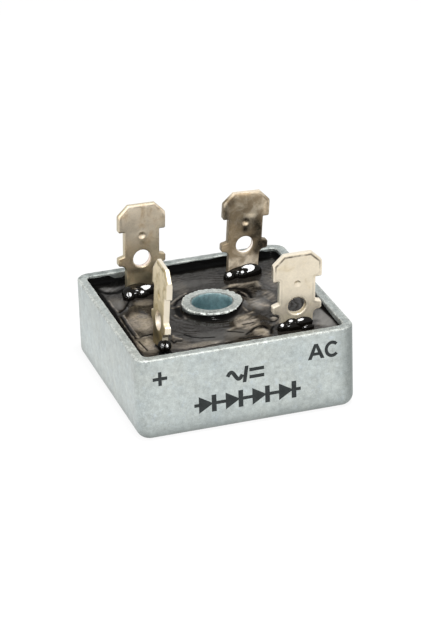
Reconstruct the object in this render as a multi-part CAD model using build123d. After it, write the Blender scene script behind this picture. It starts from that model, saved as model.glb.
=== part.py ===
from build123d import *
from math import cos, radians, sin, tan
import os

os.makedirs("parts", exist_ok=True)

# Case: one aluminium cup with a hollow centre post for the mounting screw
CASE_SIDE = 28.5
CASE_HEIGHT = 11.1
CASE_WALL = 1.2
CASE_FLOOR = 1.6
CASE_CORNER_RADIUS = 1.8
CASE_BASE_RADIUS = 1.5
CAVITY_CORNER_RADIUS = 0.9
CAVITY_BASE_CHAMFER = 0.4
RIM_EDGE_BREAK = 0.15
POST_DIAMETER = 7.8
POST_TOP_DROP = 0.1
POST_EDGE_BREAK = 0.2
SCREW_DIAMETER = 4.83
SCREW_CLEARANCE = 0.37
BORE_CHAMFER = 0.25

# Potting compound
POTTING_DROP = 1.0
MENISCUS_HEIGHT = 0.45
MENISCUS_WIDTH = 0.65
MENISCUS_LAND = 0.08
BEAD_RADIUS = 2.4
BEAD_HEIGHT = 1.2
BEAD_FORWARD = 0.5
EDGE_BEAD_RADIUS = 1.2

# Sheet that keeps the lower plates off the case
INSULATOR_THICKNESS = 0.635
INSULATOR_EDGE_GAP = 0.5
INSULATOR_POST_GAP = 0.3
INSULATOR_CORNER_RADIUS = 1.2

# Diode chips and solder
CHIP_SIDE = 4.8
CHIP_THICKNESS = 0.35
SOLDER_THICKNESS = 0.12
SOLDER_SETBACK = 0.15

# Sheet stampings
SHEET = 0.8
BEND_INNER_RADIUS = 0.6
PLATE_ARM_WIDTH = 5.2
PLATE_CORNER_CUT = 0.4
PLATE_BEND_RELIEF = 0.5
PLATE_GUSSET = 3.0

# Quick-connect lug outline, distances measured down from its tip
LUG_WIDTH = 6.35
LUG_TIP_CHAMFER = 1.35
LUG_TIP_BEVEL = 0.18
LUG_SHOULDER = 3.6
LUG_NECK_WIDTH = 4.72
LUG_EAR_TOP = 6.95
LUG_EAR_RISE = 0.25
LUG_EAR_WIDTH = 6.4
LUG_EAR_BOTTOM = 8.25
LUG_STEM_WIDTH = 4.2
LUG_CORNER_RADIUS = 0.2
LUG_HOLE_DIAMETER = 2.4
LUG_HOLE_DROP = 7.45
DIMPLE_DIAMETER = 1.1
DIMPLE_FLOOR_DIAMETER = 0.5
DIMPLE_DEPTH = 0.22
DIMPLE_DROP = 4.25

# Where each lug stands in from the case's nearest faces at a level a little above the compound, its reach
# above the rim, and how it leans: lean forward, roll sideways and turn about the vertical, in degrees
LUG_PLACE_RISE = 0.75
AC_FRONT_INSET_X = 6.15
AC_FRONT_INSET_Y = 5.2
AC_FRONT_REACH = 9.35
AC_FRONT_LEAN = 6.3
AC_FRONT_ROLL = 0.0
AC_FRONT_TURN = -1.0
AC_BACK_INSET_X = 7.55
AC_BACK_INSET_Y = 5.2
AC_BACK_REACH = 10.8
AC_BACK_LEAN = 0.0
AC_BACK_ROLL = 2.1
AC_BACK_TURN = 2.4
NEGATIVE_INSET_X = 7.15
NEGATIVE_INSET_Y = 5.2
NEGATIVE_REACH = 10.6
NEGATIVE_LEAN = 4.0
NEGATIVE_ROLL = 3.1
NEGATIVE_TURN = 1.6
POSITIVE_INSET_X = 4.65
POSITIVE_INSET_Y = 5.4
POSITIVE_REACH = 10.05
POSITIVE_LEAN = -4.2
POSITIVE_ROLL = 0.0
POSITIVE_TURN = -1.5

# Places and levels that follow from the sizes above
BORE_DIAMETER = SCREW_DIAMETER + SCREW_CLEARANCE
CAVITY_SIDE = CASE_SIDE - 2 * CASE_WALL
FILL_LEVEL = CASE_HEIGHT - POTTING_DROP
LOWER_PLATE_BASE = CASE_FLOOR + INSULATOR_THICKNESS
LOWER_SOLDER_BASE = LOWER_PLATE_BASE + SHEET
CHIP_BASE = LOWER_SOLDER_BASE + SOLDER_THICKNESS
UPPER_SOLDER_BASE = CHIP_BASE + CHIP_THICKNESS
UPPER_PLATE_BASE = UPPER_SOLDER_BASE + SOLDER_THICKNESS
CHIP_RADIUS = (POST_DIAMETER + CAVITY_SIDE) / 4
ARM_INNER = CHIP_RADIUS - PLATE_ARM_WIDTH / 2
ARM_OUTER = CHIP_RADIUS + PLATE_ARM_WIDTH / 2
ARM_END = PLATE_ARM_WIDTH / 2
AC_FRONT_PLACE = (CASE_SIDE / 2 - AC_FRONT_INSET_X, AC_FRONT_INSET_Y - CASE_SIDE / 2)
AC_BACK_PLACE = (AC_BACK_INSET_X - CASE_SIDE / 2, CASE_SIDE / 2 - AC_BACK_INSET_Y)
NEGATIVE_PLACE = (CASE_SIDE / 2 - NEGATIVE_INSET_X, CASE_SIDE / 2 - NEGATIVE_INSET_Y)
POSITIVE_PLACE = (POSITIVE_INSET_X - CASE_SIDE / 2, POSITIVE_INSET_Y - CASE_SIDE / 2)


def rounded_block(side, height, radius, base=0.0):
    sketch = Pos(0, 0, base) * RectangleRounded(side, side, radius)
    return extrude(sketch, height)


def edges_at(shape, level):
    return [edge for edge in shape.edges()
            if abs(edge.bounding_box().min.Z - level) < 1e-4 and abs(edge.bounding_box().max.Z - level) < 1e-4]


def post_blank(top):
    return extrude(Pos(0, 0, CASE_FLOOR) * Circle(POST_DIAMETER / 2), top - CASE_FLOOR)


# Room inside the cup around the post, up to a given level
def cavity(top):
    room = rounded_block(CAVITY_SIDE, top - CASE_FLOOR, CAVITY_CORNER_RADIUS, CASE_FLOOR)
    room = room - post_blank(top)
    return chamfer(edges_at(room, CASE_FLOOR), CAVITY_BASE_CHAMFER)


def make_case():
    blank = rounded_block(CASE_SIDE, CASE_HEIGHT, CASE_CORNER_RADIUS)
    blank = fillet(edges_at(blank, 0), CASE_BASE_RADIUS)
    cup = blank - cavity(CASE_HEIGHT)
    post_top = CASE_HEIGHT - POST_TOP_DROP
    cup = cup - extrude(Pos(0, 0, post_top) * Circle(POST_DIAMETER), POST_TOP_DROP)
    cup = cup - extrude(Circle(BORE_DIAMETER / 2), CASE_HEIGHT)
    cup = chamfer(edges_at(cup, CASE_HEIGHT), RIM_EDGE_BREAK)
    cup = chamfer(edges_at(cup, post_top), POST_EDGE_BREAK)
    bore_mouth = [edge for edge in edges_at(cup, 0) if edge.bounding_box().size.X < BORE_DIAMETER + 0.01]
    return chamfer(bore_mouth, BORE_CHAMFER)


def make_insulator():
    side = CAVITY_SIDE - 2 * (CAVITY_BASE_CHAMFER + INSULATOR_EDGE_GAP)
    sheet = rounded_block(side, INSULATOR_THICKNESS, INSULATOR_CORNER_RADIUS, CASE_FLOOR)
    hole = POST_DIAMETER / 2 + CAVITY_BASE_CHAMFER + INSULATOR_POST_GAP
    return sheet - extrude(Pos(0, 0, CASE_FLOOR) * Circle(hole), INSULATOR_THICKNESS)


def chip_places():
    return {"front": (0, -CHIP_RADIUS), "left": (-CHIP_RADIUS, 0),
            "back": (0, CHIP_RADIUS), "right": (CHIP_RADIUS, 0)}


def square_layer(place, side, base, thickness):
    return extrude(Pos(place[0], place[1], base) * Rectangle(side, side), thickness)


# Directions of a lug: x across its width, y up its length, z out of its front face
def lug_plane(origin, lean, roll, turn):
    a = radians(lean)
    b = radians(roll)
    front = Vector(0, -cos(a), -sin(a))
    up = Vector(0, -sin(a), cos(a))
    across = Vector(cos(b), 0, 0) - up * sin(b)
    return Plane(origin=origin, x_dir=across.rotate(Axis.Z, turn), z_dir=front.rotate(Axis.Z, turn))


def corners_of(face, half_x, y):
    return [v for v in face.vertices() if abs(abs(v.X) - half_x) < 1e-4 and abs(v.Y - y) < 1e-4]


def corner_near(face, x, y):
    return [v for v in face.vertices() if abs(v.X - x) < 1e-4 and abs(v.Y - y) < 1e-4]


# Flat outline of a lug with its stem running down past the bend
def lug_outline(tip, depth_below):
    ear_low = tip - LUG_EAR_BOTTOM
    shoulder = tip - LUG_SHOULDER
    ear_side = tip - LUG_EAR_TOP - LUG_EAR_RISE
    half = [(LUG_WIDTH / 2 - LUG_TIP_CHAMFER, tip),
            (LUG_WIDTH / 2, tip - LUG_TIP_CHAMFER),
            (LUG_WIDTH / 2, shoulder),
            (LUG_NECK_WIDTH / 2, shoulder),
            (LUG_NECK_WIDTH / 2, tip - LUG_EAR_TOP),
            (LUG_EAR_WIDTH / 2, ear_side),
            (LUG_EAR_WIDTH / 2, ear_low),
            (LUG_STEM_WIDTH / 2, ear_low),
            (LUG_STEM_WIDTH / 2, -depth_below)]
    other = [(-x, y) for x, y in reversed(half)]
    face = make_face(Polyline(*half, *other, close=True))
    overhang = (LUG_EAR_WIDTH - LUG_STEM_WIDTH) / 2
    face = fillet(corners_of(face, LUG_STEM_WIDTH / 2, ear_low), 0.75 * overhang)
    small = corners_of(face, LUG_WIDTH / 2, shoulder)
    small += corners_of(face, LUG_EAR_WIDTH / 2, ear_side)
    small += corners_of(face, LUG_EAR_WIDTH / 2, ear_low)
    face = fillet(small, LUG_CORNER_RADIUS)
    return face - Pos(0, tip - LUG_HOLE_DROP) * Circle(LUG_HOLE_DIAMETER / 2)


# Side view of the folded sheet, with y level and z up: flat foot, bend and leaning stem
def folded_strip(bend_y, middle, length, lean, inward):
    a = radians(lean)
    half = SHEET / 2
    top_y = bend_y - length * sin(a)
    top_z = middle + length * cos(a)
    inner_y = bend_y + half * (inward - sin(a)) / cos(a)
    outer_y = bend_y - half * (inward - sin(a)) / cos(a)
    run = bend_y + inward * PLATE_ARM_WIDTH / 2
    side_y = inward * half * cos(a)
    side_z = inward * half * sin(a)
    points = [(run, middle - half), (run, middle + half), (inner_y, middle + half),
              (top_y + side_y, top_z + side_z), (top_y - side_y, top_z - side_z),
              (outer_y, middle - half)]
    face = make_face(Polyline(*points, close=True))
    face = fillet(corner_near(face, inner_y, middle + half), BEND_INNER_RADIUS)
    face = fillet(corner_near(face, outer_y, middle - half), BEND_INNER_RADIUS + SHEET)
    return extrude(Plane.YZ * face, LUG_WIDTH, both=True)


# L-shaped plate of one corner: sx and sy say which corner it lies in
def corner_plate(sx, sy, base, stem_x, bend_y):
    edge_y = bend_y - sy * (BEND_INNER_RADIUS + SHEET)
    slot_x = stem_x - sx * (LUG_STEM_WIDTH / 2 + PLATE_BEND_RELIEF)
    points = [(-sx * ARM_END, sy * ARM_OUTER),
              (slot_x, sy * ARM_OUTER),
              (slot_x, edge_y),
              (sx * ARM_OUTER, edge_y),
              (sx * ARM_OUTER, -sy * ARM_END),
              (sx * ARM_INNER, -sy * ARM_END),
              (sx * ARM_INNER, sy * (ARM_INNER - PLATE_GUSSET)),
              (sx * (ARM_INNER - PLATE_GUSSET), sy * ARM_INNER),
              (-sx * ARM_END, sy * ARM_INNER)]
    if sx * sy < 0:
        points.reverse()
    face = make_face(Polyline(*points, close=True))
    ends = [v for v in face.vertices()
            if abs(v.X + sx * ARM_END) < 1e-4 or abs(v.Y + sy * ARM_END) < 1e-4]
    ends += corners_of(face, ARM_OUTER, edge_y)
    face = chamfer(ends, PLATE_CORNER_CUT)
    return extrude(Pos(0, 0, base) * face, SHEET, dir=(0, 0, 1))


def tip_edges(solid, plane, tip):
    found = []
    for edge in solid.edges():
        ends = [plane.to_local_coords(Vector(v.X, v.Y, v.Z)) for v in edge.vertices()]
        on_face = all(abs(abs(p.Z) - SHEET / 2) < 1e-3 for p in ends)
        high = all(p.Y > tip - LUG_TIP_CHAMFER - 1e-3 for p in ends)
        if len(ends) == 2 and on_face and high and abs(ends[0].X - ends[1].X) > 1e-3:
            found.append(edge)
    return found


# One stamping: plate, bend, stem and lug in a single sheet
def make_terminal(sx, sy, base, place, reach, lean, roll, turn):
    x, y = place
    foot_z = FILL_LEVEL + LUG_PLACE_RISE
    middle = base + SHEET / 2
    a = radians(lean)
    length = (CASE_HEIGHT + reach - foot_z) / (cos(a) * cos(radians(roll)))
    below = (foot_z - middle) / cos(a)
    bend_y = y + below * sin(a)
    plane = lug_plane((x, y, foot_z), lean, roll, turn)
    strip = folded_strip(bend_y - y, middle, below + length + SHEET, lean, -sy)
    strip = Pos(x, y, 0) * Rot(0, 0, turn) * strip
    outline = plane * lug_outline(length, below + 2 * SHEET)
    lug = strip & extrude(outline, PLATE_ARM_WIDTH, both=True)
    lug = chamfer(tip_edges(lug, plane, length), LUG_TIP_BEVEL)
    dimple = Cone(DIMPLE_FLOOR_DIAMETER / 2, DIMPLE_DIAMETER / 2, DIMPLE_DEPTH)
    seat = Pos(0, 0, (SHEET - DIMPLE_DEPTH) / 2) * dimple
    for half_turn in (0, 180):
        lug -= plane * Pos(0, length - DIMPLE_DROP, 0) * Rot(0, half_turn, 0) * seat
    return lug + corner_plate(sx, sy, base, x, bend_y)


# Round mound of compound drawn up at the foot of a lug, set sideways along the sheet and forward of it
def foot_bead(place, turn, radius, sideways, forward):
    ball = (radius ** 2 + BEAD_HEIGHT ** 2) / (2 * BEAD_HEIGHT)
    crown = RadiusArc((radius, 0), (0, BEAD_HEIGHT), -ball)
    outline = Polyline((0, BEAD_HEIGHT), (0, -BEAD_HEIGHT), (radius, -BEAD_HEIGHT), (radius, 0))
    profile = Plane.XZ * make_face([crown, outline])
    mound = revolve(profile, Axis.Z, 360)
    return Pos(*place, FILL_LEVEL) * Rot(0, 0, turn) * Pos(sideways, -forward, 0) * mound


def make_potting(buried):
    rise = FILL_LEVEL + MENISCUS_HEIGHT
    dish_side = CAVITY_SIDE - 2 * MENISCUS_LAND
    dish = rounded_block(dish_side, 2 * MENISCUS_HEIGHT, CAVITY_CORNER_RADIUS - MENISCUS_LAND, FILL_LEVEL)
    collar = Pos(0, 0, FILL_LEVEL) * Circle(POST_DIAMETER / 2 + MENISCUS_LAND)
    dish -= extrude(collar, 2 * MENISCUS_HEIGHT)
    dish = chamfer(edges_at(dish, FILL_LEVEL), MENISCUS_WIDTH, MENISCUS_HEIGHT)
    fill = cavity(rise) - dish
    for place, turn in ((AC_FRONT_PLACE, AC_FRONT_TURN), (AC_BACK_PLACE, AC_BACK_TURN),
                        (NEGATIVE_PLACE, NEGATIVE_TURN)):
        fill += foot_bead(place, turn, BEAD_RADIUS, 0, BEAD_FORWARD)
    fill += foot_bead(POSITIVE_PLACE, POSITIVE_TURN - 90, EDGE_BEAD_RADIUS, LUG_STEM_WIDTH / 2, 0)
    for shape in buried:
        fill -= shape
    return fill


def build():
    nodes = {"case": make_case(), "base_insulator": make_insulator()}
    nodes["terminal_ac_front"] = make_terminal(
        1, -1, LOWER_PLATE_BASE, AC_FRONT_PLACE, AC_FRONT_REACH,
        AC_FRONT_LEAN, AC_FRONT_ROLL, AC_FRONT_TURN)
    nodes["terminal_ac_back"] = make_terminal(
        -1, 1, LOWER_PLATE_BASE, AC_BACK_PLACE, AC_BACK_REACH,
        AC_BACK_LEAN, AC_BACK_ROLL, AC_BACK_TURN)
    nodes["terminal_negative"] = make_terminal(
        1, 1, UPPER_PLATE_BASE, NEGATIVE_PLACE, NEGATIVE_REACH,
        NEGATIVE_LEAN, NEGATIVE_ROLL, NEGATIVE_TURN)
    quarter_turned = (-POSITIVE_PLACE[1], POSITIVE_PLACE[0])
    nodes["terminal_positive"] = Rot(0, 0, -90) * make_terminal(
        1, -1, UPPER_PLATE_BASE, quarter_turned, POSITIVE_REACH,
        POSITIVE_LEAN, POSITIVE_ROLL, POSITIVE_TURN)
    solder_side = CHIP_SIDE - 2 * SOLDER_SETBACK
    for side, place in chip_places().items():
        nodes["diode_chip_" + side] = square_layer(place, CHIP_SIDE, CHIP_BASE, CHIP_THICKNESS)
        nodes["solder_lower_" + side] = square_layer(place, solder_side, LOWER_SOLDER_BASE, SOLDER_THICKNESS)
        nodes["solder_upper_" + side] = square_layer(place, solder_side, UPPER_SOLDER_BASE, SOLDER_THICKNESS)
    buried = [shape for name, shape in nodes.items() if name != "case"]
    nodes["potting_compound"] = make_potting(buried)
    for name, shape in nodes.items():
        solids = shape.solids()
        if len(solids) != 1:
            raise ValueError(name + " isn't one solid: " + str(len(solids)))
        solids[0].label = name
        export_step(solids[0], "parts/" + name + ".step")
    return nodes


build()
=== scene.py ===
import math

import bpy
import numpy as np
from mathutils import Matrix, Vector, noise
from mathutils.geometry import delaunay_2d_cdt


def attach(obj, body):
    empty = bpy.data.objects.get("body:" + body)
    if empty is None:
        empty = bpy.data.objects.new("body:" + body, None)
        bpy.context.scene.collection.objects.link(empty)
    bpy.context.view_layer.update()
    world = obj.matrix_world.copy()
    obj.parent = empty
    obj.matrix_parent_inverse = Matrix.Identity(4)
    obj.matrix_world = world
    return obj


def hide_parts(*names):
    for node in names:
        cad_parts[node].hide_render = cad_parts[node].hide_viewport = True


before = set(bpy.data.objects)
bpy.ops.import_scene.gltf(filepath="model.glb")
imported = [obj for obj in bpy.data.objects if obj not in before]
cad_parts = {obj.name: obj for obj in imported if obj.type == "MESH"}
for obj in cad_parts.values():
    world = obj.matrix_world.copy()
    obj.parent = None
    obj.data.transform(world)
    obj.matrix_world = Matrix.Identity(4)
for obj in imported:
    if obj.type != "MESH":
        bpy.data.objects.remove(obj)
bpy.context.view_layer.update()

MM = 0.001
QUARTER_TURNS = ((1, 0), (0, 1), (-1, 0), (0, -1))

# Case, in millimetres
CASE_HALF = 14.25
CASE_HEIGHT = 11.1
CASE_WALL = 1.2
CASE_FLOOR = 1.6
CASE_CORNER = 1.8
BASE_RADIUS = 1.5
CAVITY_HALF = CASE_HALF - CASE_WALL
CAVITY_CORNER = 0.9
FLOOR_BEVEL = 0.4
POST_RADIUS = 3.9
POST_TOP = 11.0
BORE_RADIUS = 2.6
BORE_CHAMFER = 0.25
RIM_BAND = 0.2

# Square loops of the rim, from the outer wall inwards, and then those just outside the cavity's wall: distance from
# that wall, change of the corner's radius, drop below the rim, rubbed, painted shade and ragged
RIM_OUTSIDE = ((0, 0, 0.26, 0.25, 0, 0.01), (0.01, 0, 0.15, 0.8, 0.25, 0.03), (0.06, 0, 0.06, 1.0, 0.55, 0.05),
               (0.15, 0, 0.01, 1.0, 0.6, 0.04), (0.27, 0.12, 0, 0.9, 0.6, 0), (0.45, 0.27, -0.004, 0.6, 0.62, 0.015),
               (0.7, 0.42, -0.004, 0.6, 0.62, 0.015), (0.9, 0.54, -0.004, 0.6, 0.62, 0.015))
RIM_INSIDE = ((0.14, 0.12, 0.005, 0.9, 0.6, 0), (0.06, 0.05, 0.03, 1.0, 0.6, 0.03),
              (0.01, 0.02, 0.11, 1.0, 0.5, 0.02), (0, 0, RIM_BAND, 0.3, 0.3, 0))
# Round loops of the post, from its wall inwards, and then those just outside the bore: distance from the wall or the
# bore, drop below the top, rubbed, painted shade and ragged
POST_OUTSIDE = ((0, 0.3, 0.1, 0.3, 0.05), (0.01, 0.17, 0.8, 0.1, 0.12), (0.06, 0.06, 1.0, 0.4, 0.14),
                (0.17, 0.005, 1.0, 0.75, 0.1), (0.32, 0, 0.9, 0.8, 0.03), (0.5, 0, 0.8, 0.8, 0.02),
                (0.7, 0, 0.8, 0.8, 0.02), (0.9, 0, 0.8, 0.8, 0.02), (1.04, 0, 0.8, 0.8, 0.02))
BORE_MOUTH = ((0.13, 0.02, 1.0, 1.0, 0.06), (0.04, 0.09, 1.0, 1.0, 0.07), (0, 0.22, 0.2, 1.0, 0.02))

# Potting compound
FILL_LEVEL = 10.1
WALL_CREEP = 0.74
POST_CREEP = 0.66
CREEP_WIDTH = 0.27
HIGHEST_BEAD = 1.5
BEAD_STEEPNESS = 0.86
RING_SPACING = 0.95

# Lug outline, measured down from the tip
SHEET = 0.8
LUG_HALF = 3.175
TIP_CHAMFER = 1.35
TIP_BEVEL = 0.2
TIP_BEVEL_WIDTH = 0.34
EDGE_BEVEL = 0.055
EDGE_BEVEL_WIDTH = 0.13
SHOULDER_DROP = 3.6
NECK_HALF = 2.36
EAR_DROP = 6.95
EAR_RISE = 0.25
EAR_HALF = 3.2
EAR_BOTTOM = 8.25
STEM_HALF = 2.1
HOLE_RADIUS = 1.2
HOLE_DROP = 7.45
DIMPLE_RADIUS = 0.46
DIMPLE_FLOOR = 0.12
DIMPLE_DEPTH = 0.17
DIMPLE_DROP = 4.25
BEND_RADIUS = 1.0
SHEET_TAIL = 2.2

# Each lug's foot, its tip level, lean, roll, turn in degrees, the level of its plate and the corner it lies in
FOOT_LEVEL = 10.85
LUGS = {
    "terminal_ac_front": ((8.1, -9.05), 20.45, 6.3, 0.0, -1.0, 2.635, (1, -1)),
    "terminal_ac_back": ((-6.7, 9.05), 21.9, 0.0, 2.1, 2.4, 2.635, (-1, 1)),
    "terminal_negative": ((7.1, 9.05), 21.7, 4.0, 3.1, 1.6, 4.025, (1, 1)),
    "terminal_positive": ((8.85, -9.6), 21.15, -4.2, 0.0, -1.5, 4.025, (1, -1)),
}
PLATE_INNER = 5.875
PLATE_OUTER = 11.075
PLATE_END = 2.6
PLATE_GUSSET = 3.0
PLATE_BEHIND_BEND = 1.4
PLATE_SLOT = 0.5


# Meshes

def add_object(name, data):
    made = bpy.data.objects.new(name, data)
    bpy.context.scene.collection.objects.link(made)
    return made


def add_piece(name, points, faces, material, sharp, values=None):
    mesh = bpy.data.meshes.new(name)
    mesh.from_pydata([tuple(v) for v in np.asarray(points, float) * MM], [], faces)
    for label, numbers in (values or {}).items():
        layer = mesh.attributes.new(label, "FLOAT", "POINT")
        layer.data.foreach_set("value", np.asarray(numbers, np.float32))
    mesh.polygons.foreach_set("use_smooth", [True] * len(mesh.polygons))
    mesh.set_sharp_from_angle(angle=math.radians(sharp))
    mesh.materials.append(material)
    mesh.update()
    return add_object(name, mesh)


def waver(x, y, z, size, seed):
    return noise.noise(Vector((x / size + seed * 17.3, y / size - seed * 9.1, z / size + seed * 4.7)))


def waver_at(x, y, size, seed):
    return np.array([waver(a, b, 0, size, seed) for a, b in zip(x, y)])


def fade(gap, width, power=1):
    """1 at the gap's start, falling towards 0 past the width."""
    return np.exp(-(gap / width) ** power)


def ramp(value, low, high):
    return np.clip((value - low) / (high - low), 0, 1)


def off_centre(x, y, cx, cy, half_x, half_y):
    """0 at the centre of an oval place and 1 on its edge."""
    return ((x - cx) / half_x) ** 2 + ((y - cy) / half_y) ** 2


def square_ring(half, corner, side_steps, corner_steps):
    flat = half - corner
    run = [(half, -flat + 2 * flat * i / side_steps) for i in range(side_steps)]
    for i in range(corner_steps):
        a = math.pi / 2 * i / corner_steps
        run.append((flat + corner * math.cos(a), flat + corner * math.sin(a)))
    return [(x * c - y * s, x * s + y * c) for c, s in QUARTER_TURNS for x, y in run]


def round_ring(radius, pattern):
    angles = [math.atan2(y, x) for x, y in pattern]
    return [(radius * math.cos(a), radius * math.sin(a)) for a in angles]


def loft_faces(rings, count):
    """Faces between rings of points, from the last ring back to the first."""
    faces = []
    for k in range(rings):
        low, high = k * count, (k + 1) % rings * count
        for i in range(count):
            j = (i + 1) % count
            faces.append((low + j, high + j, high + i, low + i))
    return faces


def case_cup(material):
    side_steps, corner_steps = 96, 14
    pattern = square_ring(CASE_HALF, CASE_CORNER, side_steps, corner_steps)
    points, values = [], {"rubbed": [], "painted_shade": [], "bored": []}

    def add(point, *looks):
        points.append(point)
        for numbers, look in zip(values.values(), looks):
            numbers.append(look)

    # Painted shade: each square loop is darkened by its own amount, and more at the corners (most at the right front
    # one), on the upper left face and on the back rim; less on the lit left rim
    def square(half, corner, z, rubbed=0.0, painted_dark=0.0, ragged=0.0):
        on_rim = z > CASE_HEIGHT - RIM_BAND
        for x, y in square_ring(half, corner, side_steps, corner_steps):
            to_corner = max(0.0, CASE_HALF - 0.4 - min(abs(x), abs(y)))
            turned = (0.8 if x > 0 and y < 0 else 0.4 if y > 0 else 0.16) * math.exp(-(to_corner / 1.5) ** 2)
            if x < 0.5 - CASE_HALF and z > 5:
                turned = max(turned, 0.03 * (z - 5))
            if y > CAVITY_HALF - 0.2 and on_rim:
                turned = 0.75 + 0.5 * waver(x, y, 0, 1.3, 11) - 0.1 * (x > 5)
            lit = 0.82 if x < -CAVITY_HALF and on_rim else 1.0
            nick = ragged * waver(x, y, 0, 0.7, 3) + 0.6 * ragged * waver(x, y, 0, 0.22, 5)
            grow = 1 - 0.5 * nick / math.hypot(x, y)
            add((x * grow, y * grow, z + nick), rubbed, max(painted_dark * lit, min(turned, 1.0)), 0.0)

    # Painted shade on each round loop; on the ring top it is lighter towards the right and back
    def circle(radius, z, rubbed=0.0, painted_dark=0.0, ragged=0.0):
        on_ring = radius > 2.8 and z > POST_TOP - 0.12
        for x, y in round_ring(radius, pattern):
            nick = ragged * waver(x, y, 0, 0.55, 7) + 0.7 * ragged * waver(x, y, 0, 0.2, 9)
            grow = (radius + nick) / radius
            lit = 0.5 + 0.35 * (x + y) / radius
            add((x * grow, y * grow, z + 0.6 * nick), rubbed, painted_dark * (1 - 0.5 * lit) if on_ring else painted_dark,
                1.0 if radius <= BORE_RADIUS else 0.0)

    circle(BORE_RADIUS, BORE_CHAMFER, 0.3)
    circle(BORE_RADIUS + BORE_CHAMFER, 0.0, 0.6)
    circle(BORE_RADIUS + BORE_CHAMFER + 0.3, 0.0)
    square(CASE_HALF - BASE_RADIUS - 0.5, 0.3, 0.0)
    # Painted shade on the base's rounded edge and the foot of the walls, darker towards the floor
    for step in range(9):
        a = math.pi / 2 * step / 8
        inset = BASE_RADIUS * (1 - math.sin(a))
        square(CASE_HALF - inset, CASE_CORNER - inset, BASE_RADIUS * (1 - math.cos(a)),
               0.0, 0.34 + 0.66 * math.cos(a) ** 1.2)
    for z, painted_dark in ((1.9, 0.24), (2.6, 0.12), (3.4, 0.03), (4.5, 0), (6.5, 0), (8.5, 0), (10.0, 0), (10.6, 0)):
        square(CASE_HALF, CASE_CORNER, z, 0.0, painted_dark)
    for inset, tighter, drop, *looks in RIM_OUTSIDE:
        square(CASE_HALF - inset, CASE_CORNER - tighter, CASE_HEIGHT - drop, *looks)
    for outset, wider, drop, *looks in RIM_INSIDE:
        square(CAVITY_HALF + outset, CAVITY_CORNER + wider, CASE_HEIGHT - drop, *looks)
    # Painted shade: the cavity's walls and floor, the post's wall, the ring top and the bore are darkened
    for z in (10.6, 10.2, 6.0, CASE_FLOOR + FLOOR_BEVEL):
        square(CAVITY_HALF, CAVITY_CORNER, z, 0.3, 0.3)
    square(CAVITY_HALF - FLOOR_BEVEL, CAVITY_CORNER - FLOOR_BEVEL, CASE_FLOOR, 0.0, 0.8)
    circle(POST_RADIUS + FLOOR_BEVEL, CASE_FLOOR, 0.0, 0.8)
    for z in (CASE_FLOOR + FLOOR_BEVEL, 6.0, 9.6, 10.4):
        circle(POST_RADIUS, z, 0.0, 0.8)
    for inset, drop, *looks in POST_OUTSIDE:
        circle(POST_RADIUS - inset, POST_TOP - drop, *looks)
    for outset, drop, *looks in BORE_MOUTH:
        circle(BORE_RADIUS + outset, POST_TOP - drop, *looks)
    for z in (10.2, 8.5, 6.0, 3.0, 1.0):
        circle(BORE_RADIUS, z, 0.0, 0.5, 0.015)
    faces = loft_faces(len(points) // len(pattern), len(pattern))
    return add_piece("case_cup", points, faces, material, 50, values)


# Potting compound: a cast block whose skin creeps up the metal and gathers in beads at the lugs

def lug_directions(name):
    (foot_x, foot_y), _, lean, roll, turn, _, _ = LUGS[name]
    a, b = math.radians(lean), math.radians(roll)
    front = Vector((0, -math.cos(a), -math.sin(a)))
    up = Vector((0, -math.sin(a), math.cos(a)))
    across = Vector((math.cos(b), 0, 0)) - up * math.sin(b)
    spin = Matrix.Rotation(math.radians(turn), 3, "Z")
    across, front = (spin @ across).normalized(), (spin @ front).normalized()
    return Vector((foot_x, foot_y, FOOT_LEVEL)), across, front.cross(across), front


def quarter_turn(name, vector):
    return Vector((vector[1], -vector[0], vector[2])) if name == "terminal_positive" else Vector(vector)


def dome(rho2):
    """Height of a bead from the square of the share of its radius."""
    foot = math.sqrt(1 - BEAD_STEEPNESS)
    return (np.sqrt(np.clip(1 - BEAD_STEEPNESS * rho2, 1 - BEAD_STEEPNESS, 1)) - foot) / (1 - foot)


def gentle_max(a, b, blend):
    h = np.clip(0.5 + 0.5 * (a - b) / blend, 0, 1)
    return b * (1 - h) + a * h + blend * h * (1 - h)


# Per skirt of resin round a lug's foot: lug, half length across, reach forward, reach back, height, and the rise
# beside it as across, forward, radius and height
SKIRTS = (("terminal_ac_front", 1.9, 0.9, 1.6, 0.8, (-1.95, 0.5, 0.75, 0.5)),
          ("terminal_ac_back", 2.3, 2.2, 1.6, 0.8, (-2.3, 2.4, 0.8, 0.5)),
          ("terminal_negative", 2.4, 1.5, 1.6, 0.9, (-2.2, 1.3, 0.8, 0.5)),
          ("terminal_positive", 1.2, 0.8, 0.9, 0.4, (2.2, 0.0, 0.9, 0.8)))

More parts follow.
